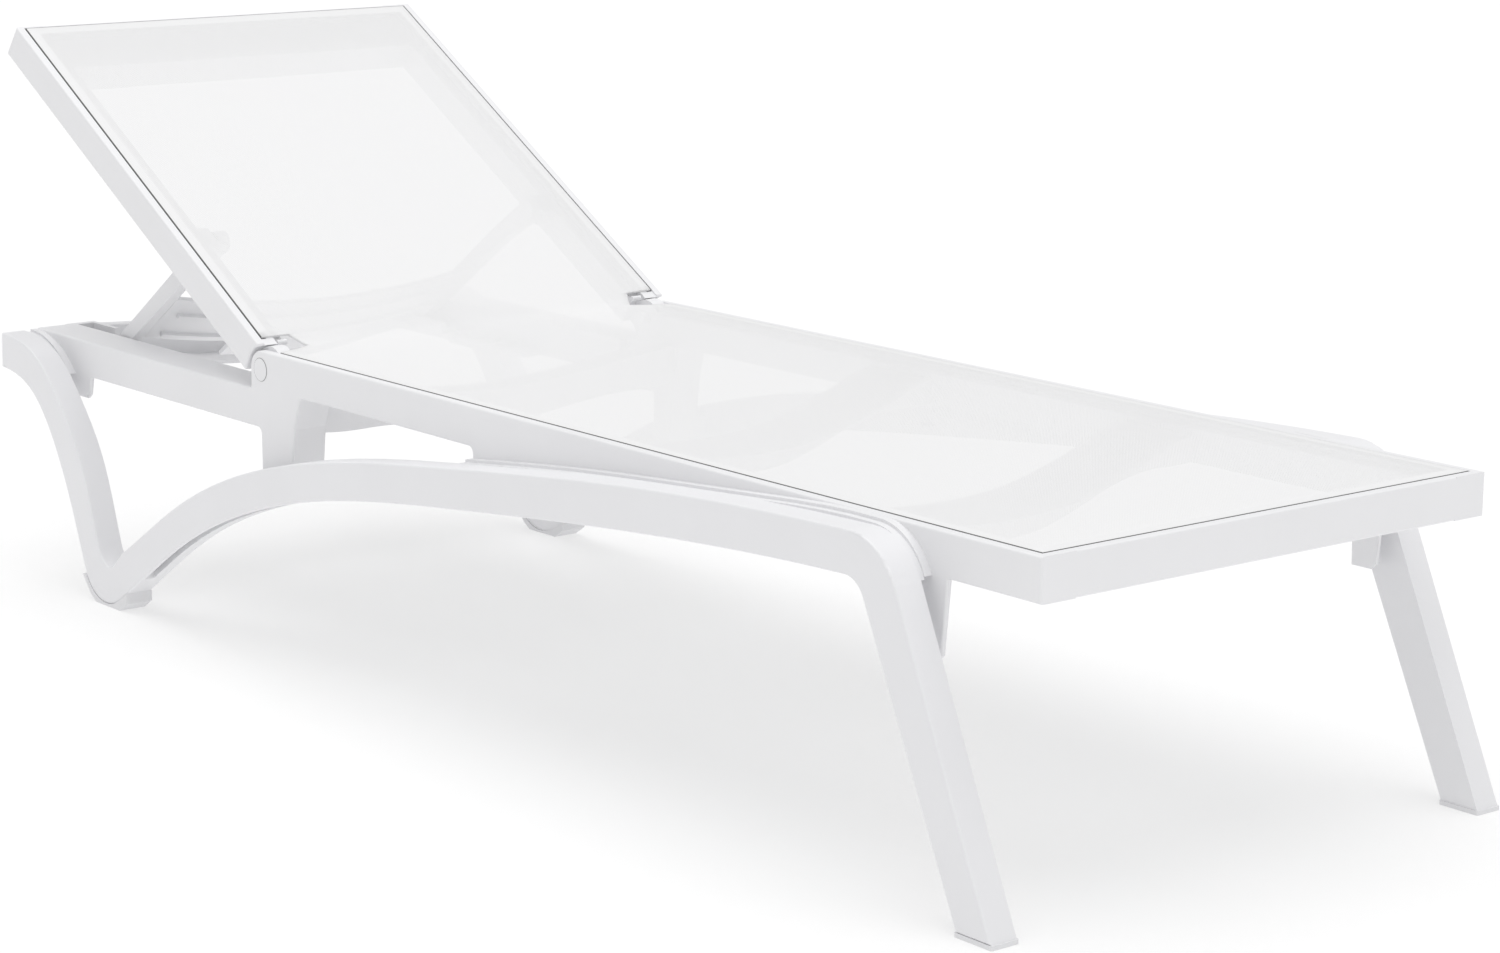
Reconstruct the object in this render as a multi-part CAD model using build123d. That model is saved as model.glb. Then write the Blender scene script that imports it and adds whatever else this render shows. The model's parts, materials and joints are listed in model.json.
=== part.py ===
"""Reclining sun lounger: moulded resin frame, two bent side leg frames, stretched mesh sling.

Millimetres, +Z up. +Y points from the foot end to the head end and X is the width. The origin is
on the floor under the middle of the lounger as it stands, with the backrest at its resting angle.
Inside this script y is counted from the foot end, and write() moves each piece to the origin.
Left and right are those of a person lying on the lounger, so left is +X.
"""

from build123d import *
import math
import os

# Overall sizes
LOUNGER_WIDTH = 700.0
BED_WIDTH = 600.0
BED_TOP = 355.4
RAIL_WIDTH = 43.0
RAIL_DEPTH = 44.0
EDGE_ROUND = 2.5

# Backrest hinge and recline
HINGE_Y = 1298.4
HINGE_Z = BED_TOP - RAIL_DEPTH / 2
BACKREST_LENGTH = 677.0
REST_RECLINE = 30.24
BACKREST_END_DRAFT = 6.0
TOP_RAIL_WIDTH = 83.0
KNUCKLE_RADIUS = 26.0
KNUCKLE_INNER = 268.0
KNUCKLE_OUTER = 285.5
CAP_RADIUS = 14.0
CAP_SEAT = 1.2
PIN_RADIUS = 5.0
RUNNING_CLEARANCE = 0.05
BODY_GAP = 0.5
PEG_RADIUS = 3.5
PEG_END = 256.0
PEG_S = 25.0
PEG_N = 16.0

# Sling, its spline groove and the ledge that it rests on inside the rails' lip
LIP = 10.0
TOP_LIP = 9.0
SLING_THICKNESS = 1.2
SLING_SEAT = 1.9
SLING_EDGE_GAP = 1.4
SLING_LIFT = 0.3
SPLINE_WIDTH = 7.0
SPLINE_DEPTH = 5.0
SPLINE_PLAY = 0.3
LEDGE_WIDTH = 18.0
LEDGE_DROP = 6.0
NECK_HALF_WIDTH = 238.0

# Side leg frames
LEG_OUTER = LOUNGER_WIDTH / 2
LEG_INNER = 317.0
LEG_SKIN = 4.0
LEG_GROOVE_WIDTH = 13.0
GROOVE_CEILING = 0.36
CAP_HEIGHT = 4.5
BOLT_RADIUS = 3.5
LEG_BOLTS = ((250.0, 321.0), (520.0, 307.0), (800.0, 276.0), (1262.0, 197.0), (1800.0, 274.0))

# Prop that holds the backrest up
PROP_LENGTH = 294.67
PROP_PIVOT_S = 231.0
PROP_PIVOT_N = 5.0
PROP_ANGLE = -33.94
ARM_INNER = 226.0
ARM_OUTER = 242.0
ARM_END_RADIUS = 13.5
SHOULDER = 70.0
SHOULDER_TOP = 14.7
SHOULDER_BOTTOM = -7.0
FOOT_RADIUS = 9.0
PANEL_START = 142.0
PANEL_END = 248.0
PANEL_DEPTH = -6.0
PANEL_DIP = 24.0
TONGUE_END = 290.0
TONGUE_HALF_WIDTH = 100.0
BOSS_RADIUS = 20.0

# Walls and ribs of the mouldings
RIM_WALL = 5.0
TOP_SKIN = 10.0
RIB = 4.0

# Worked out from the sizes above
BED_SIDE = BED_WIDTH / 2
RAIL_INNER = BED_SIDE - RAIL_WIDTH
RAIL_BOTTOM = BED_TOP - RAIL_DEPTH
HALF_DEPTH = RAIL_DEPTH / 2
RECLINE = math.radians(REST_RECLINE)
OVERALL_LENGTH = HINGE_Y + BACKREST_LENGTH * math.cos(RECLINE) + HALF_DEPTH * math.sin(RECLINE)
HINGE_AXIS = Axis((0, HINGE_Y, HINGE_Z), (1, 0, 0))
LEDGE_TOP = BED_TOP - SLING_SEAT
SLING_EDGE = BED_SIDE - LIP - SLING_EDGE_GAP
BACKREST_END = HINGE_Y + BACKREST_LENGTH
TURNING_RADIUS = KNUCKLE_RADIUS + 1.0
ABOVE = BED_TOP + 5.0

# Side view of the leg frame in (y, z): each station is a point of the upper edge and the point of
# the lower edge across the section from it.
FRONT_LEG_FOOT = ((2.0, CAP_HEIGHT), (48.1, CAP_HEIGHT))
FRONT_LEG_TOP = ((137.7, 308.2), (182.2, 290.1))
ARCH_START = ((204.0, 350.3), (209.0, 306.6))
ARCH = (
    ((514.0, 335.0), (510.0, 289.0)),
    ((860.0, 297.4), (853.0, 253.5)),
    ((1137.0, 255.0), (1129.0, 211.6)),
    ((1289.0, 212.6), (1272.0, 170.5)),
    ((1428.0, 148.4), (1406.0, 109.5)),
)
ARCH_END = ((1540.0, 79.0), (1517.0, 38.5))
VEE_BOTTOM = ((1581.0, 50.0), (1587.0, 3.0))
REAR_LEG_FOOT = ((1605.0, 70.0), (1642.0, 40.0))
REAR_LEG = (
    ((1647.0, 175.0), (1690.0, 148.0)),
    ((1709.0, 253.0), (1736.0, 217.0)),
)
REAR_LEG_TOP = ((1841.0, 307.0), (1842.0, 263.0))
ARCH_END_HEADING = ((0.86, -0.51), (0.84, -0.55))
REAR_FOOT_HEADING = ((0.37, 0.93), (0.38, 0.92))
REAR_TOP_HEADING = ((1.0, 0.0), (1.0, 0.04))

HEAD_END = 1841.0
REAR_RAIL_TOP = 309.0
REAR_RAIL_BOTTOM = 264.0
REAR_RAIL_INNER = 245.0
POST_FRONT = 1215.0
POST_BOTTOM = 190.0
POST_BOX = 248.0
POST_OUTER = 282.0
POST_WALL_END = 1242.0
WEB_END = 872.0
FLANGE_STEP = 309.0
CHANNEL_WALL = 216.0
CHANNEL_INNER = 222.5
CHANNEL_FLOOR = 270.0
CHANNEL_START = 1490.0
LOW_WALL_START = 1673.0
HIGH_WALL_START = 1775.0
LOW_WALL_TOP = 284.0
SLOT_END = 1830.0
TOOTH_START = 1543.5
TOOTH_PITCH = 34.25
TOOTH_COUNT = 7
TOOTH_LENGTH = 24.0
TOOTH_TOP = 276.0
CROSSBEAM_STARTS = (350.0, 755.0)
HINGE_BEAM_START = 1227.0
HINGE_BEAM_END = 1269.0


def slab(outline, inner, outer):
    """A plate drawn as a face in (y, z) that runs from x = inner to x = outer."""
    return extrude(Plane.YZ.offset(inner) * outline, amount=outer - inner)


def beam(outline, start, end):
    """A bar drawn as a face in (x, z) that runs from y = start to y = end."""
    return extrude(Plane.XZ.offset(-end) * outline, amount=end - start)


def block(x, y, z):
    """A box from its (low, high) pair on each axis."""
    middle = [(low + high) / 2 for low, high in (x, y, z)]
    return Pos(*middle) * Box(x[1] - x[0], y[1] - y[0], z[1] - z[0])


def polygon(*points):
    return make_face(Polyline(*points, close=True))


def rod(radius, inner, outer, y=HINGE_Y, z=HINGE_Z):
    """A cylinder along X."""
    return slab(Pos(y, z) * Circle(radius), inner, outer)


def reclined(shape):
    """Turns a piece drawn with the backrest flat up to the resting angle."""
    return shape.rotate(HINGE_AXIS, REST_RECLINE)


def other_side(shape):
    return mirror(shape, about=Plane.YZ)


def write(name, shape):
    moved = Pos(0, -OVERALL_LENGTH / 2, 0) * shape
    solids = moved.solids()
    whole = solids[0] if len(solids) == 1 else Compound(children=list(solids))
    export_step(whole, "parts/" + name + ".step")


def write_pair(name, shape):
    write(name + "_left", shape)
    write(name + "_right", other_side(shape))


def rounded(solid, x):
    """Rounds the rim of the flat face that a plate has at this x."""
    rim = solid.faces().filter_by(Axis.X).filter_by_position(Axis.X, x - 0.01, x + 0.01).edges()
    return fillet(rim, EDGE_ROUND)


# Leg frames and their feet


def across(station, depth):
    """The point of a station at a depth of 0 for the upper edge and 1 for the lower edge."""
    upper, lower = station
    return (
        upper[0] + depth * (lower[0] - upper[0]),
        upper[1] + depth * (lower[1] - upper[1]),
    )


def leg_edge(depth):
    """One edge of the leg frame's side view, from the front foot to the head end."""
    foot = across(FRONT_LEG_FOOT, depth)
    leg_top = across(FRONT_LEG_TOP, depth)
    arch_start = across(ARCH_START, depth)
    arch_end = across(ARCH_END, depth)
    rear_foot = across(REAR_LEG_FOOT, depth)
    front_leg = Line(foot, leg_top)
    corner = TangentArc(leg_top, arch_start, tangent=front_leg % 1)
    return [
        front_leg,
        corner,
        Spline(
            arch_start,
            *[across(station, depth) for station in ARCH],
            arch_end,
            tangents=[corner % 1, across(ARCH_END_HEADING, depth)],
        ),
        Spline(
            arch_end,
            across(VEE_BOTTOM, depth),
            rear_foot,
            tangents=[across(ARCH_END_HEADING, depth), across(REAR_FOOT_HEADING, depth)],
        ),
        Spline(
            rear_foot,
            *[across(station, depth) for station in REAR_LEG],
            across(REAR_LEG_TOP, depth),
            tangents=[across(REAR_FOOT_HEADING, depth), across(REAR_TOP_HEADING, depth)],
        ),
    ]


def leg_band(near, far):
    """The band of the leg frame's side view between two depths."""
    upper, lower = leg_edge(near), leg_edge(far)
    ends = [
        Line(across(FRONT_LEG_FOOT, near), across(FRONT_LEG_FOOT, far)),
        Line(across(REAR_LEG_TOP, near), across(REAR_LEG_TOP, far)),
    ]
    return make_face(Wire(upper + lower + ends))


def leg_frame():
    """One moulding: a full section with a groove open along its lower edge."""
    frame = rounded(slab(leg_band(0, 1), LEG_INNER, LEG_OUTER), LEG_OUTER)
    groove_outer = LEG_OUTER - LEG_SKIN
    groove = slab(leg_band(GROOVE_CEILING, 1.2), groove_outer - LEG_GROOVE_WIDTH, groove_outer)
    frame -= groove - rear_foot_zone()
    for y, z in LEG_BOLTS:
        frame -= rod(BOLT_RADIUS + RUNNING_CLEARANCE, LEG_INNER - 1, LEG_OUTER - LEG_SKIN, y, z)
    return frame


def rear_foot_zone():
    """Where the groove stops at the bend, so that the rear glide has a solid seat."""
    return block((LEG_INNER, LEG_OUTER), (1500, 1690), (-10, 60))


def front_foot():
    """A flat cap with a plug that goes up into the open groove of the front leg."""
    sole = block((LEG_INNER - 1.5, LEG_OUTER + 0.3), (0, 50), (0, CAP_HEIGHT))
    sole = fillet(sole.edges().filter_by(Axis.Z), EDGE_ROUND)
    plug_outer = LEG_OUTER - LEG_SKIN - 0.2
    plug = slab(
        polygon((20, CAP_HEIGHT), (47, CAP_HEIGHT), (58, 30), (32, 30)),
        plug_outer - LEG_GROOVE_WIDTH + 0.4,
        plug_outer,
    )
    return sole + plug


def rear_foot():
    """A cup under the bend of the rear leg, with a flat sole."""
    cup = polygon(
        (1537.0, 12.0), (1556.0, 0.0), (1613.0, 0.0), (1626.0, 8.0), (1645.0, 30.0), (1537.0, 30.0)
    )
    cup = slab(cup, LEG_INNER - 2, LEG_OUTER + 0.8)
    return cup - slab(leg_band(-0.5, 1), LEG_INNER - 3, LEG_OUTER + 2)


# Bed side rails: seat rail, hinge post and rear rail in one moulding


def bed_outline():
    """Side view of the seat rail, the post under the hinge and the rear rail."""
    cheek_back = HINGE_Y + HALF_DEPTH
    corner = polygon(
        (0, RAIL_BOTTOM),
        (0, BED_TOP),
        (HINGE_Y, BED_TOP),
        (cheek_back, BED_TOP),
        (cheek_back, REAR_RAIL_TOP),
        (HEAD_END, REAR_RAIL_TOP),
        (HEAD_END, REAR_RAIL_BOTTOM),
        (1300, REAR_RAIL_BOTTOM),
        (1299, POST_BOTTOM),
        (1236, POST_BOTTOM),
        (1227, 273),
        (POST_FRONT, RAIL_BOTTOM),
    )
    corners = corner.vertices()
    cheek = corners.sort_by_distance((cheek_back, BED_TOP))[0]
    outline = fillet(cheek, HALF_DEPTH - 0.1)
    for point, radius in (
        ((1300, REAR_RAIL_BOTTOM), 8.0),
        ((POST_FRONT, RAIL_BOTTOM), 4.0),
        ((cheek_back, REAR_RAIL_TOP), 3.0),
        ((HEAD_END, REAR_RAIL_TOP), 4.0),
    ):
        vertex = outline.vertices().sort_by_distance(point)[0]
        outline = fillet(vertex, radius)
    return outline


def outer_wall_outline():
    """The rail's outer wall, which also runs on down behind the leg frame."""
    behind_leg = polygon(
        (121, RAIL_BOTTOM + 9),
        (121, RAIL_BOTTOM),
        (128, 238),
        (134, 232),
        (160, 232),
        (162, 306),
        (400, 300),
        (WEB_END, 274),
        (WEB_END, RAIL_BOTTOM + 9),
    )
    rear_tab = polygon((1699, 275), (1706, 242), (1713, 236), (1770, 236), (1780, 275))
    outline = bed_outline() + behind_leg + rear_tab
    for point, radius in (((WEB_END, RAIL_BOTTOM), 8.0), ((WEB_END, 274), 4.0)):
        outline = fillet(outline.vertices().sort_by_distance(point)[0], radius)
    return outline


def flange(drop, inner, outer):
    """The raised seam that the leg frame bears on, lowered by drop."""
    crest = [
        ThreePointArc((142.5, RAIL_BOTTOM - drop), (160, 337 - drop), (210, 355 - drop)),
        Spline(
            (210, 355 - drop),
            (389, 346 - drop),
            (645, 325 - drop),
            (WEB_END, 299 - drop),
            tangents=[(1, 0.02), (1, -0.13)],
        ),
    ]
    back = Polyline(
        (WEB_END, 299 - drop),
        (WEB_END, 266 - drop),
        (514, 299 - drop),
        (240, RAIL_BOTTOM - drop),
        (142.5, RAIL_BOTTOM - drop),
    )
    front = slab(make_face(Wire(crest + list(back.edges()))), inner, outer)
    rise = ThreePointArc((1740, 264 - drop), (1784, 297 - drop), (HEAD_END - 2, 308 - drop))
    behind = Polyline(
        (HEAD_END - 2, 308 - drop),
        (HEAD_END - 2, 275 - drop),
        (1775, 264 - drop),
        (1740, 264 - drop),
    )
    return front + slab(make_face(Wire([rise] + list(behind.edges()))), inner, outer)


def bed_rail():
    wall_inner = BED_SIDE - RIM_WALL
    rail = rounded(slab(outer_wall_outline(), wall_inner, BED_SIDE), BED_SIDE)
    rail += slab(bed_outline(), RAIL_INNER, wall_inner)
    rail += flange(0, BED_SIDE, FLANGE_STEP)
    rail += flange(3, FLANGE_STEP, LEG_INNER)
    # The post's lower end carries a pad for the leg frame's bolt.
    pad = polygon((1236, POST_BOTTOM), (1290, POST_BOTTOM), (1290, 202), (1236, 216))
    rail += slab(pad, wall_inner, LEG_INNER)
    # Below its box section the post is only a front wall and an outer wall.
    rail -= block((RAIL_INNER - 1, POST_OUTER), (POST_WALL_END, 1305), (POST_BOTTOM - 1, POST_BOX))
    rail += rear_channel()
    rail -= side_ledge(LIP, HINGE_Y + 30, HINGE_Y - 30)
    # The hinge knuckle turns between an outer and an inner cheek.
    rail -= rod(TURNING_RADIUS, KNUCKLE_INNER - BODY_GAP, KNUCKLE_OUTER + BODY_GAP)
    rail -= block(
        (RAIL_INNER - 1, KNUCKLE_OUTER + BODY_GAP),
        (HINGE_Y, HINGE_Y + 40),
        (REAR_RAIL_TOP, ABOVE),
    )
    inner_cheek = (RAIL_INNER - 1, KNUCKLE_INNER)
    rail -= block(inner_cheek, (HINGE_Y - TURNING_RADIUS, HINGE_Y + 30), (HINGE_Z, ABOVE))
    rail += slab(Pos(HINGE_Y, HINGE_Z) * Circle(11), RAIL_INNER, KNUCKLE_INNER - BODY_GAP)
    rail -= rod(PIN_RADIUS + RUNNING_CLEARANCE, RAIL_INNER + 2, BED_SIDE + 1)
    rail -= rod(CAP_RADIUS + RUNNING_CLEARANCE, BED_SIDE - CAP_SEAT, BED_SIDE + 1)
    rail -= underside_pockets()
    for y, z in LEG_BOLTS:
        rail -= rod(BOLT_RADIUS + RUNNING_CLEARANCE, BED_SIDE - 20, LEG_INNER + 1, y, z)
    return rail


def side_ledge(start, end, groove_end, groove_start=LIP):
    """What a side rail's top loses: the seat of the sling, a step down inside it, and its groove."""
    outer = BED_SIDE - LIP
    seat = block((0, outer), (start, end), (LEDGE_TOP, ABOVE))
    step = block((0, outer - LEDGE_WIDTH), (start, end), (LEDGE_TOP - LEDGE_DROP, ABOVE))
    groove = block(
        (outer - SPLINE_WIDTH - SLING_EDGE_GAP, outer),
        (groove_start, groove_end),
        (LEDGE_TOP - SPLINE_DEPTH, LEDGE_TOP + 1),
    )
    return seat + step + groove


def cross_ledge(lip_end, inward, width):
    """The same along a cross rail, from its lip inwards by width. inward is +1 or -1 along Y."""
    across_rail = (-RAIL_INNER, RAIL_INNER)

    def span(near, far, low):
        along = sorted((lip_end + inward * near, lip_end + inward * far))
        return block(across_rail, along, (low, ABOVE))

    groove_width = SPLINE_WIDTH + SLING_EDGE_GAP
    seat = span(0, width, LEDGE_TOP)
    step = span(LEDGE_WIDTH, width, LEDGE_TOP - LEDGE_DROP)
    return seat + step + span(0, groove_width, LEDGE_TOP - SPLINE_DEPTH)


def bays(start, stop, count):
    """The (start, end) of each open bay between the ribs of a moulding."""
    pitch = (stop - start) / count
    return [(start + bay * pitch, start + (bay + 1) * pitch - RIB) for bay in range(count)]


def underside_pockets():
    """The seat rail and the rear rail are open underneath, with cross ribs."""
    width = (RAIL_INNER + RIM_WALL, BED_SIDE - RIM_WALL)
    seat = (RAIL_BOTTOM - 1, LEDGE_TOP - TOP_SKIN)
    rear = (REAR_RAIL_BOTTOM - 1, REAR_RAIL_TOP - RIM_WALL)
    pockets = [block(width, bay, seat) for bay in bays(60, POST_FRONT - 10, 10)]
    return pockets + [block(width, bay, rear) for bay in bays(1330, HEAD_END - 10, 4)]


def rear_channel():
    """The channel along the rear rail where the prop's foot slides, with ratchet teeth."""
    channel = block(
        (REAR_RAIL_INNER, RAIL_INNER), (HINGE_Y + 24, HEAD_END), (REAR_RAIL_BOTTOM, REAR_RAIL_TOP)
    )
    floor = (REAR_RAIL_BOTTOM, CHANNEL_FLOOR)
    channel += block((CHANNEL_WALL, REAR_RAIL_INNER), (CHANNEL_START, HEAD_END), floor)
    inner_wall = (CHANNEL_WALL, CHANNEL_INNER)
    low_wall = (REAR_RAIL_BOTTOM, LOW_WALL_TOP)
    tall = (REAR_RAIL_BOTTOM, REAR_RAIL_TOP)
    channel += block(inner_wall, (LOW_WALL_START, HIGH_WALL_START), low_wall)
    channel += block(inner_wall, (HIGH_WALL_START, HEAD_END), tall)
    channel += block((CHANNEL_WALL, REAR_RAIL_INNER), (SLOT_END, HEAD_END), tall)
    # Each tooth stops the foot with a steep face and lets it slide forward over its slope.
    for tooth in range(TOOTH_COUNT):
        start = TOOTH_START + tooth * TOOTH_PITCH
        end = start + TOOTH_LENGTH
        tooth = polygon((start, CHANNEL_FLOOR - 1), (end, CHANNEL_FLOOR - 1), (start, TOOTH_TOP))
        channel += slab(tooth, CHANNEL_INNER, REAR_RAIL_INNER)
    return channel


def bolts():
    """Bolts that hold the leg frame to the bed, with their heads in the leg's groove."""
    groove_floor = LEG_OUTER - LEG_SKIN - LEG_GROOVE_WIDTH
    group = Part()
    for y, z in LEG_BOLTS:
        head = slab(Pos(y, z) * RegularPolygon(6.5, 6), groove_floor, groove_floor + 5)
        group += rod(BOLT_RADIUS, BED_SIDE - 15, groove_floor, y, z) + head
    return group


# Cross members of the bed


def saddle(bottom, top, start, end, inner=RAIL_INNER, skin=5.0):
    """A cross member that dips in the middle, as a channel open underneath.

    bottom and top are lists of (x, z) from the middle out to one side, for its two faces.
    """

    def half_curve(points):
        return Spline(*points, tangents=[(1, 0), (1, 0.1)])

    def face(low, high):
        edges = [half_curve(low), half_curve(high)]
        edges.append(Line(low[0], high[0]))
        edges.append(Line(low[-1], high[-1]))
        return make_face(Wire(edges))

    whole = beam(face(bottom, top), start, end)
    raised = [(x, z - skin) for x, z in top]
    dropped = [(x, z - 40) for x, z in bottom]
    hollow = beam(face(dropped, raised), start + skin, end - skin)
    inside = block((0, inner - 10), (start, end), (0, 400))
    ribs = [block((x - 2, x + 2), (start, end), (0, 400)) for x in (0, 65, 130, 195)]
    shell = whole - ((hollow & inside) - ribs)
    return shell + other_side(shell)


def crossbeam(start):
    bottom = [(0, 266), (81, 281), (158, 306), (200, 311.4), (RAIL_INNER, 312)]
    top = [(0, 285), (81, 290), (167, 311), (210, 326), (RAIL_INNER, 340)]
    return saddle(bottom, top, start, start + 105)


def hinge_crossbeam():
    bottom = [(0, 249), (55, 251), (90, 255.5), (131, 260.5), (180, 263.5), (RAIL_INNER, 265)]
    top = [(0, 289), (56, 291), (113, 296), (190, 305), (RAIL_INNER, 312)]
    return saddle(bottom, top, HINGE_BEAM_START, HINGE_BEAM_END)


def head_crossbeam():
    """A shallow tray that the prop's panel lies in when flat, with a wall at the head end."""
    bottom = [(0, 248), (70, 250), (120, 256.5), (192, 268), (CHANNEL_WALL, 270)]
    tray = saddle(bottom, [(x, z + 4.5) for x, z in bottom], 1750, HEAD_END, CHANNEL_WALL, 3.5)
    wall_top = [(0, 296), (70, 297), (140, 302), (CHANNEL_WALL, 307)]
    wall = saddle(bottom, wall_top, HEAD_END - 24, HEAD_END, CHANNEL_WALL, 4.0)
    return tray + wall


def foot_rail():
    rail = block((-RAIL_INNER, RAIL_INNER), (0, RAIL_WIDTH), (RAIL_BOTTOM, BED_TOP))
    front = rail.faces().sort_by(Axis.Y)[0]
    rail = fillet(front.edges().filter_by(Axis.X), EDGE_ROUND)
    rail -= cross_ledge(LIP, 1, RAIL_WIDTH)
    depth = (RIM_WALL, RAIL_WIDTH - RIM_WALL)
    for bay in bays(RIB - RAIL_INNER, RAIL_INNER, 6):
        rail -= block(bay, depth, (RAIL_BOTTOM - 1, LEDGE_TOP - TOP_SKIN))
    return rail


# Backrest, drawn flat and then reclined


def backrest_rail():
    side_view = polygon(
        (HINGE_Y, RAIL_BOTTOM),
        (BACKREST_END, RAIL_BOTTOM),
        (BACKREST_END - BACKREST_END_DRAFT, BED_TOP),
        (HINGE_Y, BED_TOP),
    )
    # Its lower end is hollowed round the cheek of the bed rail, then runs straight down.
    side_view -= Pos(HINGE_Y, HINGE_Z) * Circle(TURNING_RADIUS)
    side_view -= Pos(HINGE_Y, HINGE_Z - HALF_DEPTH) * Rectangle(2 * TURNING_RADIUS, 2 * HALF_DEPTH)
    upper_start = math.sqrt(TURNING_RADIUS**2 - HALF_DEPTH**2)
    for corner in ((upper_start, BED_TOP), (TURNING_RADIUS, RAIL_BOTTOM)):
        place = (HINGE_Y + corner[0], corner[1])
        side_view = fillet(side_view.vertices().sort_by_distance(place)[0], 2.0)
    rail = rounded(slab(side_view, RAIL_INNER, BED_SIDE), BED_SIDE)
    ledge_end = BACKREST_END - TOP_LIP
    rail -= side_ledge(HINGE_Y - 30, ledge_end, ledge_end, HINGE_Y + 30)
    neck_top = LEDGE_TOP - LEDGE_DROP
    rail += rod(KNUCKLE_RADIUS, KNUCKLE_INNER, KNUCKLE_OUTER)
    rail += block(
        (KNUCKLE_INNER, KNUCKLE_OUTER), (HINGE_Y, HINGE_Y + 34), (RAIL_BOTTOM + 2, neck_top)
    )
    boss_y, boss_z = HINGE_Y + PROP_PIVOT_S, HINGE_Z + PROP_PIVOT_N
    boss = rod(BOSS_RADIUS, ARM_OUTER + BODY_GAP, RAIL_INNER, boss_y, boss_z)
    boss -= block(
        (ARM_OUTER, RAIL_INNER + 1),
        (boss_y - BOSS_RADIUS, boss_y + BOSS_RADIUS),
        (neck_top, ABOVE),
    )
    rail += boss
    pocket = (RAIL_INNER + RIM_WALL, BED_SIDE - RIM_WALL)
    for bay in bays(HINGE_Y + 260, BACKREST_END - 12, 5):
        rail -= block(pocket, bay, (RAIL_BOTTOM - 1, LEDGE_TOP - TOP_SKIN))
    rail -= rod(PIN_RADIUS + RUNNING_CLEARANCE, KNUCKLE_INNER - 1, KNUCKLE_OUTER + 1)
    rail -= rod(PIN_RADIUS + RUNNING_CLEARANCE, ARM_OUTER, RAIL_INNER + 13, boss_y, boss_z)
    rail += rod(PEG_RADIUS, PEG_END, KNUCKLE_INNER + 1, HINGE_Y + PEG_S, HINGE_Z + PEG_N)
    return reclined(rail)


def top_rail():
    start = BACKREST_END - BACKREST_END_DRAFT - TOP_RAIL_WIDTH
    side_view = polygon(
        (start, RAIL_BOTTOM),
        (BACKREST_END, RAIL_BOTTOM),
        (BACKREST_END - BACKREST_END_DRAFT, BED_TOP),
        (start, BED_TOP),
    )
    rail = slab(side_view, -RAIL_INNER, RAIL_INNER)
    rims = rail.faces().sort_by(Axis.Y)[-1].edges().filter_by(Axis.X)
    rail = fillet(rims, EDGE_ROUND)
    rail -= cross_ledge(BACKREST_END - TOP_LIP, -1, TOP_RAIL_WIDTH)
    depth = (start + RIM_WALL, BACKREST_END - 12)
    for bay in bays(RIB - RAIL_INNER, RAIL_INNER, 6):
        rail -= block(bay, depth, (RAIL_BOTTOM - 1, LEDGE_TOP - TOP_SKIN))
    return reclined(rail)


# Prop, drawn along +Y from its pivot and then tilted


def pivot_at_rest():
    reach = math.hypot(PROP_PIVOT_S, PROP_PIVOT_N)
    angle = RECLINE + math.atan2(PROP_PIVOT_N, PROP_PIVOT_S)
    return HINGE_Y + reach * math.cos(angle), HINGE_Z + reach * math.sin(angle)


def propped(shape):
    """Turns a piece drawn level, with the pivot at the origin, to the prop's resting place."""
    y, z = pivot_at_rest()
    return Pos(0, y, z) * Rot(X=PROP_ANGLE) * shape


def prop_arm():
    neck = PROP_LENGTH - FOOT_RADIUS
    side_view = polygon(
        (0, -ARM_END_RADIUS),
        (SHOULDER, SHOULDER_BOTTOM),
        (neck, -FOOT_RADIUS),
        (neck, FOOT_RADIUS),
        (SHOULDER, SHOULDER_TOP),
        (0, ARM_END_RADIUS),
    )
    side_view += Circle(ARM_END_RADIUS)
    side_view += Pos(PROP_LENGTH, 0) * Circle(FOOT_RADIUS)
    side_view += Pos(PROP_LENGTH - FOOT_RADIUS / 2, 0) * Rectangle(FOOT_RADIUS, 2 * FOOT_RADIUS)
    arm = slab(side_view, ARM_INNER, ARM_OUTER)
    arm -= slab(Circle(PIN_RADIUS + RUNNING_CLEARANCE), ARM_INNER + 4, ARM_OUTER + 1)
    return propped(arm)


def prop_panel():
    """A plate between the arms that dips towards its middle, with ridges under it and a tongue."""
    half = 2.5
    ridge_width = 7.0
    ridge_height = 4.5

    def plate(low, high, begin, finish):
        low += PANEL_DEPTH
        high += PANEL_DEPTH
        upper = ThreePointArc((-ARM_INNER, high), (0, high - PANEL_DIP), (ARM_INNER, high))
        lower = ThreePointArc((-ARM_INNER, low), (0, low - PANEL_DIP), (ARM_INNER, low))
        ends = [Line((side, low), (side, high)) for side in (-ARM_INNER, ARM_INNER)]
        return beam(make_face(Wire([upper, lower] + ends)), begin, finish)

    def within(shape, reach):
        return shape & block((-reach, reach), (PANEL_START, TONGUE_END), (-100, 100))

    panel = plate(-half, half, PANEL_START, PANEL_END)
    for start in (PANEL_START + 34, PANEL_START + 86):
        ridge = plate(-half - ridge_height, half, start, start + ridge_width)
        panel += within(ridge, CHANNEL_WALL - 6)
    tongue = plate(-half, half, PANEL_END, TONGUE_END)
    return propped(panel + within(tongue, TONGUE_HALF_WIDTH))


# Pins and caps


def hinge_pin():
    return rod(PIN_RADIUS, RAIL_INNER + 3, BED_SIDE - CAP_SEAT)


def hinge_cap():
    """A flush disc over the end of the hinge pin."""
    disc = rod(CAP_RADIUS, BED_SIDE - CAP_SEAT, BED_SIDE + 0.5)
    return chamfer(disc.edges().sort_by(Axis.X)[-1], 0.4)


def prop_pin():
    y, z = pivot_at_rest()
    return rod(PIN_RADIUS, ARM_INNER + 4, RAIL_INNER + 12, y, z)


# Sling and the splines that hold its edges


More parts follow.
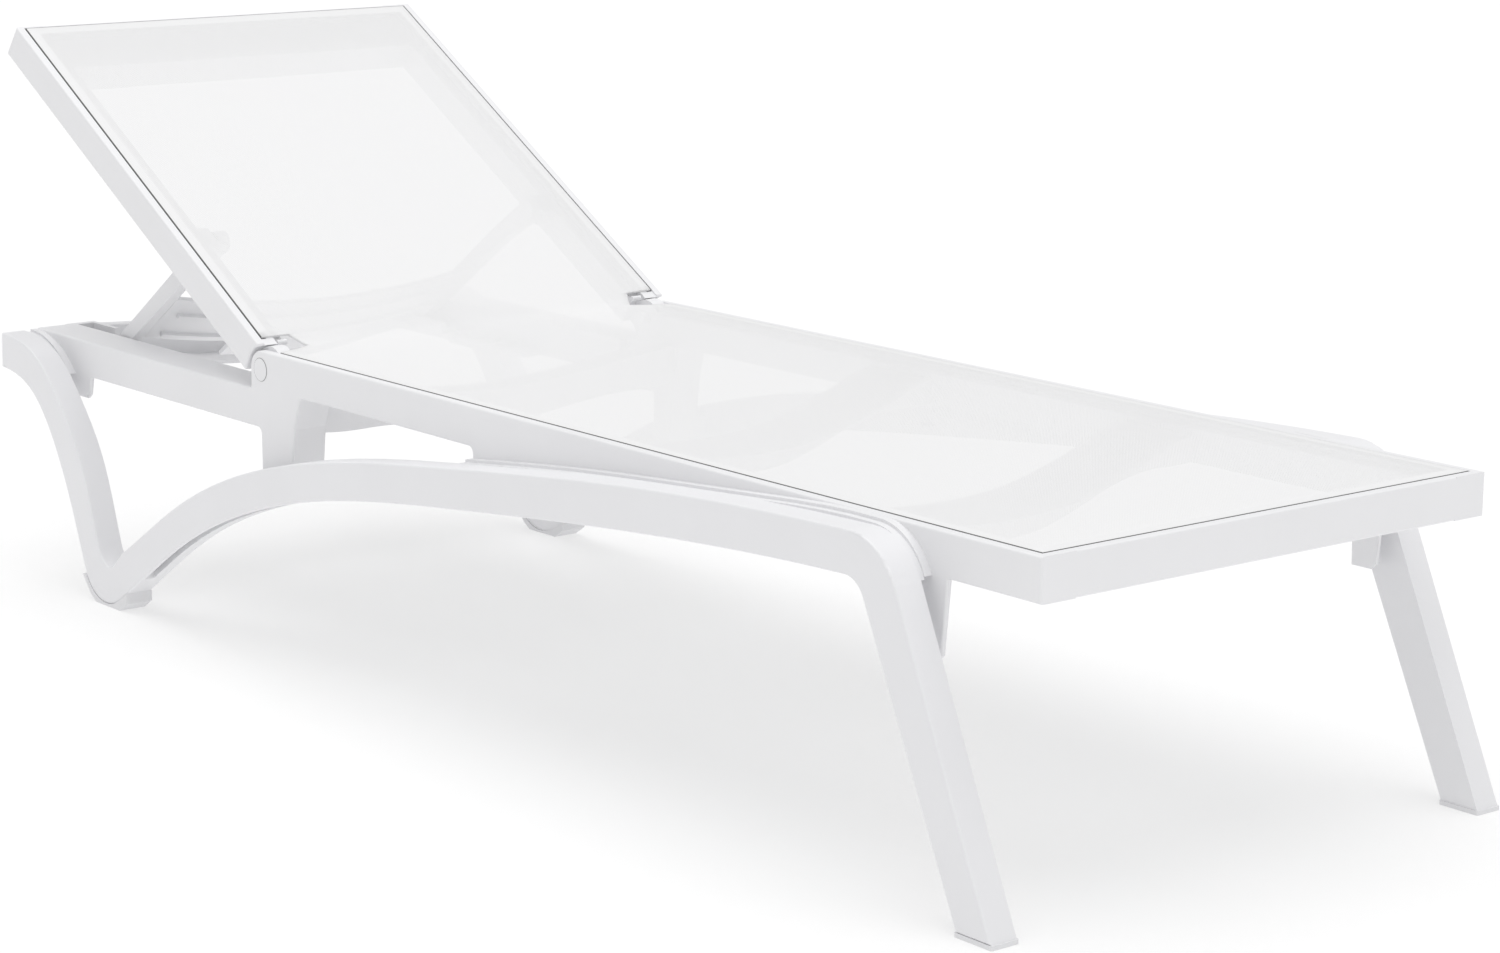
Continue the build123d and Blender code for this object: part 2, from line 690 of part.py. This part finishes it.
def sling(start, end, neck_first):
    """A flat sheet between two lengths, narrowed past the hinge knuckles at its neck."""
    if neck_first:
        sides = [(NECK_HALF_WIDTH, start), (SLING_EDGE, start + 20), (SLING_EDGE, end)]
    else:
        sides = [(SLING_EDGE, start), (SLING_EDGE, end - 20), (NECK_HALF_WIDTH, end)]
    outline = polygon(*sides, *[(-x, y) for x, y in reversed(sides)])
    return extrude(Pos(0, 0, LEDGE_TOP + SLING_LIFT) * outline, amount=SLING_THICKNESS)


def seat_sling():
    return sling(LIP + SLING_EDGE_GAP, HINGE_Y - 15, neck_first=False)


def back_sling():
    end = BACKREST_END - TOP_LIP - SLING_EDGE_GAP
    return reclined(sling(HINGE_Y + 15, end, neck_first=True))


def side_spline(start, end):
    width = (SLING_EDGE - SPLINE_WIDTH + SPLINE_PLAY, SLING_EDGE)
    return block(width, (start, end), (LEDGE_TOP - SPLINE_DEPTH, LEDGE_TOP))


def cross_spline(start):
    """A strip under the sling's edge at the foot end or the head end."""
    along = (start, start + SPLINE_WIDTH - SPLINE_PLAY)
    side = RAIL_INNER - 1
    return block((-side, side), along, (LEDGE_TOP - SPLINE_DEPTH, LEDGE_TOP))


def main():
    os.makedirs("parts", exist_ok=True)
    write_pair("leg_frame", leg_frame())
    write_pair("front_foot", front_foot())
    write_pair("rear_foot", rear_foot())
    write_pair("bed_rail", bed_rail())
    write_pair("leg_bolts", bolts())
    write("foot_rail", foot_rail())
    write("crossbeam_front", crossbeam(CROSSBEAM_STARTS[0]))
    write("crossbeam_middle", crossbeam(CROSSBEAM_STARTS[1]))
    write("crossbeam_hinge", hinge_crossbeam())
    write("head_crossbeam", head_crossbeam())
    write_pair("backrest_rail", backrest_rail())
    write("backrest_top_rail", top_rail())
    write_pair("prop_arm", prop_arm())
    write("prop_panel", prop_panel())
    write_pair("hinge_pin", hinge_pin())
    write_pair("hinge_cap", hinge_cap())
    write_pair("prop_pin", prop_pin())
    write_pair("seat_spline", side_spline(LIP + 1, HINGE_Y - 31))
    write("foot_spline", cross_spline(LIP + SLING_EDGE_GAP))
    back_end = BACKREST_END - TOP_LIP
    write_pair("back_spline", reclined(side_spline(HINGE_Y + 35, back_end - 1)))
    top_start = back_end - SLING_EDGE_GAP - SPLINE_WIDTH + SPLINE_PLAY
    write("top_spline", reclined(cross_spline(top_start)))
    write("seat_sling", seat_sling())
    write("back_sling", back_sling())


main()
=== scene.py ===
"""Looks of the reclining sun lounger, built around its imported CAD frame. Metres, +Z up."""

import json
import math

import bmesh
import bpy
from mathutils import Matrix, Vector


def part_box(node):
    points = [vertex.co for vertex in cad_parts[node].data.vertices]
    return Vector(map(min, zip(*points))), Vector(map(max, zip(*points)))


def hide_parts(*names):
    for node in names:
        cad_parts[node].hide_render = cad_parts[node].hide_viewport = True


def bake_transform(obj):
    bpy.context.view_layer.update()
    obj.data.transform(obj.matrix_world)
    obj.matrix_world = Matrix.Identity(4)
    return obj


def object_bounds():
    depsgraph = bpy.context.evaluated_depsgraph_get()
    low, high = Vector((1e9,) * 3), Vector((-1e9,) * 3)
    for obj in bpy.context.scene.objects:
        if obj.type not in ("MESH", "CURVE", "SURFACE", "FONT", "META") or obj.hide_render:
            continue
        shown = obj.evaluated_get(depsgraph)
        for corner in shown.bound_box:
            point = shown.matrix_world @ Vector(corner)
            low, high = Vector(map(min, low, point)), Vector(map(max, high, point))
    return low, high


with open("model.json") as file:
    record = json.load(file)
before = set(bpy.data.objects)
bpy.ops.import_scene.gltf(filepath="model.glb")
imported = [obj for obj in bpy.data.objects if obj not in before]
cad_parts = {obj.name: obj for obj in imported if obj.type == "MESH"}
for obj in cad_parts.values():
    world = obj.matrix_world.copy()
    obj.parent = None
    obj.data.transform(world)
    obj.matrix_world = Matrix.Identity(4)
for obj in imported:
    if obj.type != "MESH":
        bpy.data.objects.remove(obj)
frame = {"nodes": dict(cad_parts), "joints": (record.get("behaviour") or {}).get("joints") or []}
CAD_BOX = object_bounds()

# Places read from the frame
JOINTS = {joint["name"]: joint for joint in frame["joints"]}
HINGE = Vector(JOINTS["backrest_recline"]["pos_m"])
SEAT_LOW, SEAT_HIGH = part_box("seat_sling")
RECLINE = -math.radians(JOINTS["backrest_recline"]["range_deg"][0])
ALONG = Vector((0, math.cos(RECLINE), math.sin(RECLINE)))
OUT = Vector((0, -math.sin(RECLINE), math.cos(RECLINE)))
SEAT_TOP = SEAT_HIGH.z
HALF_WIDTH = SEAT_HIGH.x

# The sling's foot and head edges, as distances along it from the hip crease
NORMAL_REACH = SEAT_TOP - HINGE.z
CREASE = NORMAL_REACH * math.tan(RECLINE / 2)
BACK_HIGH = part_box("back_sling")[1]
BACK_LENGTH = (BACK_HIGH.y - HINGE.y + NORMAL_REACH * math.sin(RECLINE)) / math.cos(RECLINE)
SHEET_FOOT = SEAT_LOW.y - (HINGE.y - CREASE)
SHEET_HEAD = BACK_LENGTH - CREASE

# The sling's weave, and the height of it below which there is a hole
WEAVE_PITCH = 0.0021
HOLE_BELOW = 0.20

# The sling's hem, and the weld line inside its edge
HEM = 0.014
SEAM_INSET = 0.002
SEAM_HALF_WIDTH = 0.0008

# The sling's outermost strip is drawn dark, to stand for the shade in the groove beside the lips
GROOVE_EDGE = 0.0010
GROOVE_SHADE = 0.16

# The hinge caps, and the shade of the joint round each one, painted as a dark ring
CAP_LOW, CAP_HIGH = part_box("hinge_cap_left")
CAP_RADIUS = (CAP_HIGH.y - CAP_LOW.y) / 2
CAP_JOINT = 0.0007
CAP_JOINT_SHADE = 0.35

# The moulded resin's colour and roughness
RESIN_WHITE = (0.86, 0.86, 0.875)
LEG_WHITE = (0.855, 0.855, 0.872)
SATIN = 0.36


# Materials


class Nodes:
    """A short way to write a node tree."""

    def __init__(self, name):
        self.material = bpy.data.materials.new(name)
        self.material.use_nodes = True
        self.tree = self.material.node_tree
        self.shader = self.tree.nodes["Principled BSDF"]
        self.output = self.tree.nodes["Material Output"]

    def add(self, kind, **settings):
        node = self.tree.nodes.new("ShaderNode" + kind)
        for key, value in settings.items():
            if hasattr(node, key):
                setattr(node, key, value)
            else:
                node.inputs[key.replace("_", " ").title()].default_value = value
        return node

    def link(self, source, target):
        self.tree.links.new(source, target)

    def math(self, operation, a, b=None, c=None):
        node = self.add("Math", operation=operation)
        for slot, value in zip(node.inputs, (a, b, c)):
            if value is None:
                continue
            if isinstance(value, (int, float)):
                slot.default_value = value
            else:
                self.link(value, slot)
        return node.outputs[0]

    def spread(self, value, low, high):
        """A value that runs from 0 to 1, mapped to the range from low to high."""
        node = self.add("MapRange")
        node.inputs["To Min"].default_value = low
        node.inputs["To Max"].default_value = high
        self.link(value, node.inputs["Value"])
        return node.outputs["Result"]

    def position(self):
        """Rest position in metres, the same on every piece."""
        return self.add("TexCoord").outputs["Object"]


def moulded_resin(name, colour, roughness, grain=0.10):
    """Nodes of a satin polymer: a fine spark-eroded grain and a faint variation of tone."""
    m = Nodes(name)
    place = m.position()
    fine = m.add("TexNoise", Scale=2600.0, Detail=2.0, Roughness=0.6)
    broad = m.add("TexNoise", Scale=7.0, Detail=3.0, Roughness=0.55)
    for noise in (fine, broad):
        m.link(place, noise.inputs["Vector"])
    tint = m.add("ValToRGB")
    tint.color_ramp.elements[0].position = 0.3
    tint.color_ramp.elements[1].position = 0.7
    tint.color_ramp.elements[0].color = (*[c * 0.975 for c in colour], 1)
    tint.color_ramp.elements[1].color = (*colour, 1)
    m.link(broad.outputs["Fac"], tint.inputs["Fac"])
    m.link(tint.outputs["Color"], m.shader.inputs["Base Color"])
    varied = m.spread(fine.outputs["Fac"], roughness - 0.06, roughness + 0.08)
    m.link(varied, m.shader.inputs["Roughness"])
    bump = m.add("Bump", Strength=grain, Distance=0.0002)
    m.link(fine.outputs["Fac"], bump.inputs["Height"])
    m.link(bump.outputs["Normal"], m.shader.inputs["Normal"])
    m.shader.inputs["IOR"].default_value = 1.47
    return m


RESIN = moulded_resin("white_resin", RESIN_WHITE, SATIN).material
RESIN_LEGS = moulded_resin("white_resin_legs", LEG_WHITE, SATIN).material
GLIDE = moulded_resin("glide_polymer", (0.80, 0.80, 0.815), 0.5, grain=0.2).material
CORD = moulded_resin("spline_cord", (0.72, 0.72, 0.73), 0.6, grain=0.3).material


def brushed_steel():
    """Steel with fine scratches along X, the way the pins and bolts run."""
    m = Nodes("stainless_steel")
    stretched = m.add("Mapping")
    stretched.inputs["Scale"].default_value = (20.0, 900.0, 900.0)
    m.link(m.position(), stretched.inputs["Vector"])
    grain = m.add("TexNoise", Scale=3.0, Detail=4.0)
    m.link(stretched.outputs["Vector"], grain.inputs["Vector"])
    m.link(m.spread(grain.outputs["Fac"], 0.25, 0.45), m.shader.inputs["Roughness"])
    m.shader.inputs["Base Color"].default_value = (0.60, 0.60, 0.61, 1)
    m.shader.inputs["Metallic"].default_value = 1.0
    return m.material


STEEL = brushed_steel()


def mesh_sling():
    """Coated open mesh: square weave of round yarns with small holes between them."""
    m = Nodes("sling_mesh")
    place = m.add("UVMap").outputs["UV"]
    split = m.add("SeparateXYZ")
    m.link(place, split.inputs["Vector"])
    heights = []
    for axis in ("X", "Y"):
        turn = m.math("MULTIPLY", split.outputs[axis], 2 * math.pi / WEAVE_PITCH)
        heights.append(m.math("MULTIPLY_ADD", m.math("COSINE", turn), 0.5, 0.5))
    yarn = m.math("MAXIMUM", *heights)
    # Distance from the nearest edge: the doubled hem has no holes and has a weld line.
    from_side = m.math("SUBTRACT", HALF_WIDTH, m.math("ABSOLUTE", split.outputs["X"]))
    from_foot = m.math("SUBTRACT", split.outputs["Y"], SHEET_FOOT)
    from_head = m.math("SUBTRACT", SHEET_HEAD, split.outputs["Y"])
    inwards = m.math("MINIMUM", from_side, m.math("MINIMUM", from_foot, from_head))
    open_mesh = m.math("GREATER_THAN", inwards, HEM)
    hole = m.math("MULTIPLY", m.math("LESS_THAN", yarn, HOLE_BELOW), open_mesh)
    seam = m.math("COMPARE", inwards, HEM - SEAM_INSET, SEAM_HALF_WIDTH)
    yarn = m.math("SUBTRACT", yarn, seam)
    tint = m.add("ValToRGB")
    tint.color_ramp.elements[0].color = (0.84, 0.84, 0.845, 1)
    tint.color_ramp.elements[1].color = (*[GROOVE_SHADE] * 3, 1)
    m.link(m.math("LESS_THAN", inwards, GROOVE_EDGE), tint.inputs["Fac"])
    m.link(tint.outputs["Color"], m.shader.inputs["Base Color"])
    m.shader.inputs["Roughness"].default_value = 0.55
    m.shader.inputs["Sheen Weight"].default_value = 0.15
    bump = m.add("Bump", Strength=0.25, Distance=0.0004)
    m.link(yarn, bump.inputs["Height"])
    m.link(bump.outputs["Normal"], m.shader.inputs["Normal"])
    through = m.add("BsdfTransparent")
    mix = m.add("MixShader")
    m.link(hole, mix.inputs["Fac"])
    m.link(m.shader.outputs["BSDF"], mix.inputs[1])
    m.link(through.outputs["BSDF"], mix.inputs[2])
    m.link(mix.outputs["Shader"], m.output.inputs["Surface"])
    return m.material


SLING = mesh_sling()


def ringed_cap():
    """The caps' resin, with the shade in the fine joint round each cap's rim painted as a dark
    ring.
    """
    m = moulded_resin("white_resin_caps", RESIN_WHITE, SATIN)
    offset = m.add("VectorMath", operation="SUBTRACT")
    offset.inputs[1].default_value = HINGE
    m.link(m.position(), offset.inputs[0])
    flat = m.add("VectorMath", operation="MULTIPLY")
    flat.inputs[1].default_value = (0, 1, 1)
    m.link(offset.outputs[0], flat.inputs[0])
    radius = m.add("VectorMath", operation="LENGTH")
    m.link(flat.outputs[0], radius.inputs[0])
    inside = m.math("LESS_THAN", radius.outputs["Value"], CAP_RADIUS - CAP_JOINT)
    # Painted shade: the resin's colour is darkened in a thin ring at the cap's rim, for the shade
    # in the joint
    rim_shaded = m.add("VectorMath", operation="SCALE")
    m.link(m.spread(inside, CAP_JOINT_SHADE, 1.0), rim_shaded.inputs["Scale"])
    colour = m.shader.inputs["Base Color"]
    m.link(colour.links[0].from_socket, rim_shaded.inputs[0])
    m.link(rim_shaded.outputs[0], colour)
    return m.material


MATERIAL_OF = {
    "hinge_cap": ringed_cap(),
    "leg_frame": RESIN_LEGS,
    "front_foot": GLIDE,
    "rear_foot": GLIDE,
    "hinge_pin": STEEL,
    "prop_pin": STEEL,
    "leg_bolts": STEEL,
    "seat_spline": CORD,
    "back_spline": CORD,
    "foot_spline": CORD,
    "top_spline": CORD,
}
for name, piece in frame["nodes"].items():
    base = name.removesuffix("_left").removesuffix("_right")
    piece.data.materials.clear()
    piece.data.materials.append(MATERIAL_OF.get(base, RESIN))


# Sling: one sheet over the bed and the backrest

# How far from the hip crease the sheet's bend begins and ends
BEND = 0.016

# The cut-out at each knuckle, along the sheet from the crease, and the half widths at its corners
CUT_FOOT = -0.019
CUT_CORNER = -0.001
CUT_HEAD = 0.025
NECK_FOOT = 0.238
NECK_HEAD = 0.251

# Where the sheet leaves the ledges, and how it sags inside them
LEDGE = 0.272
SAG = 0.0035
SAG_RUN = 0.25
SAG_MARGIN = 0.018
CREASE_FREE = 0.20

# The sheet's top stands just above the lips, and its edges turn down into the groove beside them
SHEET_LIFT = 0.0011
TUCK_RUN = 0.0016
TUCK_DEPTH = 0.0024
EDGE_STEPS = (0, 0.0004, 0.0009)
INNER_COLUMNS = 48

# Rows of faces on the seat, beside the knuckles, over the neck and on the backrest
SEAT_ROWS = 56
CORNER_ROWS = 4
NECK_ROWS = 6
BACK_ROWS = 30

# The step from the cut-out's head end back to the full width, and the next row past it
CUT_STEP = 0.0005
CUT_CLEAR = 0.012


def sheet_place(v):
    """The point and the outward normal at the distance v along the sheet from the hip crease."""
    radius = BEND / math.tan(RECLINE / 2)
    half_arc = radius * RECLINE / 2
    corner = Vector((0, HINGE.y - CREASE, SEAT_TOP))
    if v <= -half_arc:
        return corner + Vector((0, v + half_arc - BEND, 0)), Vector((0, 0, 1))
    if v >= half_arc:
        return corner + ALONG * (v - half_arc + BEND), OUT
    turn = (v + half_arc) / radius
    centre = corner + Vector((0, -BEND, radius))
    normal = Vector((0, -math.sin(turn), math.cos(turn)))
    return centre - normal * radius, normal


def edge_cut(v):
    """Half the sheet's width at the distance v: it is cut out past the hinge knuckles."""
    if v <= CUT_FOOT or v > CUT_HEAD:
        return HALF_WIDTH
    if v < CUT_CORNER:
        share = (v - CUT_FOOT) / (CUT_CORNER - CUT_FOOT)
        return HALF_WIDTH + share * (NECK_FOOT - HALF_WIDTH)
    share = (v - CUT_CORNER) / (CUT_HEAD - CUT_CORNER)
    return NECK_FOOT + share * (NECK_HEAD - NECK_FOOT)


def sag(u, v, low, high):
    """How far the stretched sheet hangs between the rails' ledges, from its free edges inwards."""
    if abs(u) >= LEDGE or not low < v < high:
        return 0
    across = 1 - (u / LEDGE) ** 2
    along = min(1, (v - low) / SAG_RUN, (high - v) / SAG_RUN)
    return SAG * across * math.sin(math.pi / 2 * along)


def tuck(inwards):
    """How far the sheet turns down at a distance inwards from its edge."""
    return TUCK_DEPTH * max(0, 1 - inwards / TUCK_RUN) ** 2


def stations():
    """The rows of the sheet, from its foot edge to its head edge, closer at the bend."""

    def run(start, end, count):
        return [start + (end - start) * i / count for i in range(count)]

    rows = [SHEET_FOOT + inwards for inwards in EDGE_STEPS]
    rows += run(SHEET_FOOT + TUCK_RUN, CUT_FOOT, SEAT_ROWS)
    rows += run(CUT_FOOT, CUT_CORNER, CORNER_ROWS) + run(CUT_CORNER, CUT_HEAD, NECK_ROWS)
    rows += [CUT_HEAD, CUT_HEAD + CUT_STEP]
    rows += run(CUT_HEAD + CUT_CLEAR, SHEET_HEAD - TUCK_RUN, BACK_ROWS) + [SHEET_HEAD - TUCK_RUN]
    return rows + [SHEET_HEAD - inwards for inwards in reversed(EDGE_STEPS)]


def columns(width):
    """The places across the sheet, from one side edge to the other, at a row of this half width."""
    inner = width - TUCK_RUN
    half = [-width + inwards for inwards in EDGE_STEPS]
    middle = [inner * (2 * c / INNER_COLUMNS - 1) for c in range(INNER_COLUMNS + 1)]
    return half + middle + [-u for u in reversed(half)]


def sling_sheet():
    """The sling, with UV in metres from its middle and the hip crease, and its flat size."""
    made = bmesh.new()
    uv_layer = made.loops.layers.uv.new("UVMap")
    grid = []
    for v in stations():
        point, normal = sheet_place(v)
        width = edge_cut(v)
        from_end = min(v - SHEET_FOOT, SHEET_HEAD - v)
        row = []
        for u in columns(width):
            if v < 0:
                drop = sag(u, v, SHEET_FOOT + SAG_MARGIN, CREASE_FREE)
            else:
                drop = sag(u, v, -CREASE_FREE, SHEET_HEAD - SAG_MARGIN)
            drop += max(tuck(width - abs(u)), tuck(from_end)) - SHEET_LIFT
            place = point + Vector((u, 0, 0)) - normal * drop
            row.append((made.verts.new(place), (u, v)))
        grid.append(row)
    for near, far in zip(grid, grid[1:]):
        for c in range(len(near) - 1):
            corners = (near[c], near[c + 1], far[c + 1], far[c])
            face = made.faces.new([vert for vert, _ in corners])
            for loop, (_, uv) in zip(face.loops, corners):
                loop[uv_layer].uv = uv
            face.smooth = True
    mesh = bpy.data.meshes.new("sling")
    made.to_mesh(mesh)
    made.free()
    piece = bpy.data.objects.new("sling", mesh)
    bpy.context.scene.collection.objects.link(piece)
    mesh.materials.append(SLING)
    return piece, (2 * HALF_WIDTH, SHEET_HEAD - SHEET_FOOT)


sling, sling_flat = sling_sheet()
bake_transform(sling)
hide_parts("seat_sling", "back_sling")


# Floor, light and camera

# The floor's size, how much light it returns and how much it gives of its own, and the sky's light
FLOOR_SIZE = 80
FLOOR_GREY = 0.50
FLOOR_GLOW = 0.49
SKY_LIGHT = 0.59

# The photo's camera: its place from the foot end's middle, its turns in degrees and its lens
CAMERA_PLACE = Vector((-2.4840, -2.2332, 1.0930))
CAMERA_PITCH = -12.107
CAMERA_YAW = -37.191
LENS_MM = 86.68
SENSOR_MM = 36
SHIFT_X = 0.10


def soft_light(name, energy, spread, tilt):
    """A sun with a disc spread degrees wide, tilted about X by tilt degrees from straight down."""
    data = bpy.data.lights.new(name, "SUN")
    data.energy = energy
    data.angle = math.radians(spread)
    light = bpy.data.objects.new(name, data)
    light.rotation_euler = (math.radians(tilt), 0, 0)
    bpy.context.scene.collection.objects.link(light)


def studio():
    """A wide floor that glows to look white, an even sky, and two soft suns."""
    bpy.ops.mesh.primitive_plane_add(size=FLOOR_SIZE, location=(0, 0, 0))
    floor = bpy.context.object
    floor.name = "studio_floor"
    paint = Nodes("studio_floor")
    paint.shader.inputs["Base Color"].default_value = (*[FLOOR_GREY] * 3, 1)
    paint.shader.inputs["Roughness"].default_value = 1.0
    paint.shader.inputs["Specular IOR Level"].default_value = 0.0
    paint.shader.inputs["Emission Color"].default_value = (1, 1, 1, 1)
    paint.shader.inputs["Emission Strength"].default_value = FLOOR_GLOW
    floor.data.materials.append(paint.material)

    world = bpy.data.worlds.new("studio")
    bpy.context.scene.world = world
    world.use_nodes = True
    sky = world.node_tree.nodes["Background"]
    sky.inputs["Color"].default_value = (1, 1, 1, 1)
    sky.inputs["Strength"].default_value = SKY_LIGHT
    soft_light("overhead", energy=1.52, spread=70, tilt=-6)
    soft_light("front", energy=0.24, spread=60, tilt=65)

    view = bpy.context.scene.view_settings
    view.view_transform = "Standard"
    view.look = "None"


studio()


def photo_camera():
    """The photograph's viewpoint, measured from the middle of the foot end at floor level."""
    foot_end = Vector((0, CAD_BOX[0].y, 0))
    data = bpy.data.cameras.new("photo_view")
    data.sensor_width = SENSOR_MM
    data.lens = LENS_MM
    data.shift_x = SHIFT_X
    camera = bpy.data.objects.new("photo_view", data)
    camera.location = foot_end + CAMERA_PLACE
    camera.rotation_euler = (math.radians(90 + CAMERA_PITCH), 0, math.radians(CAMERA_YAW))
    bpy.context.scene.collection.objects.link(camera)
    bpy.context.scene.camera = camera


photo_camera()
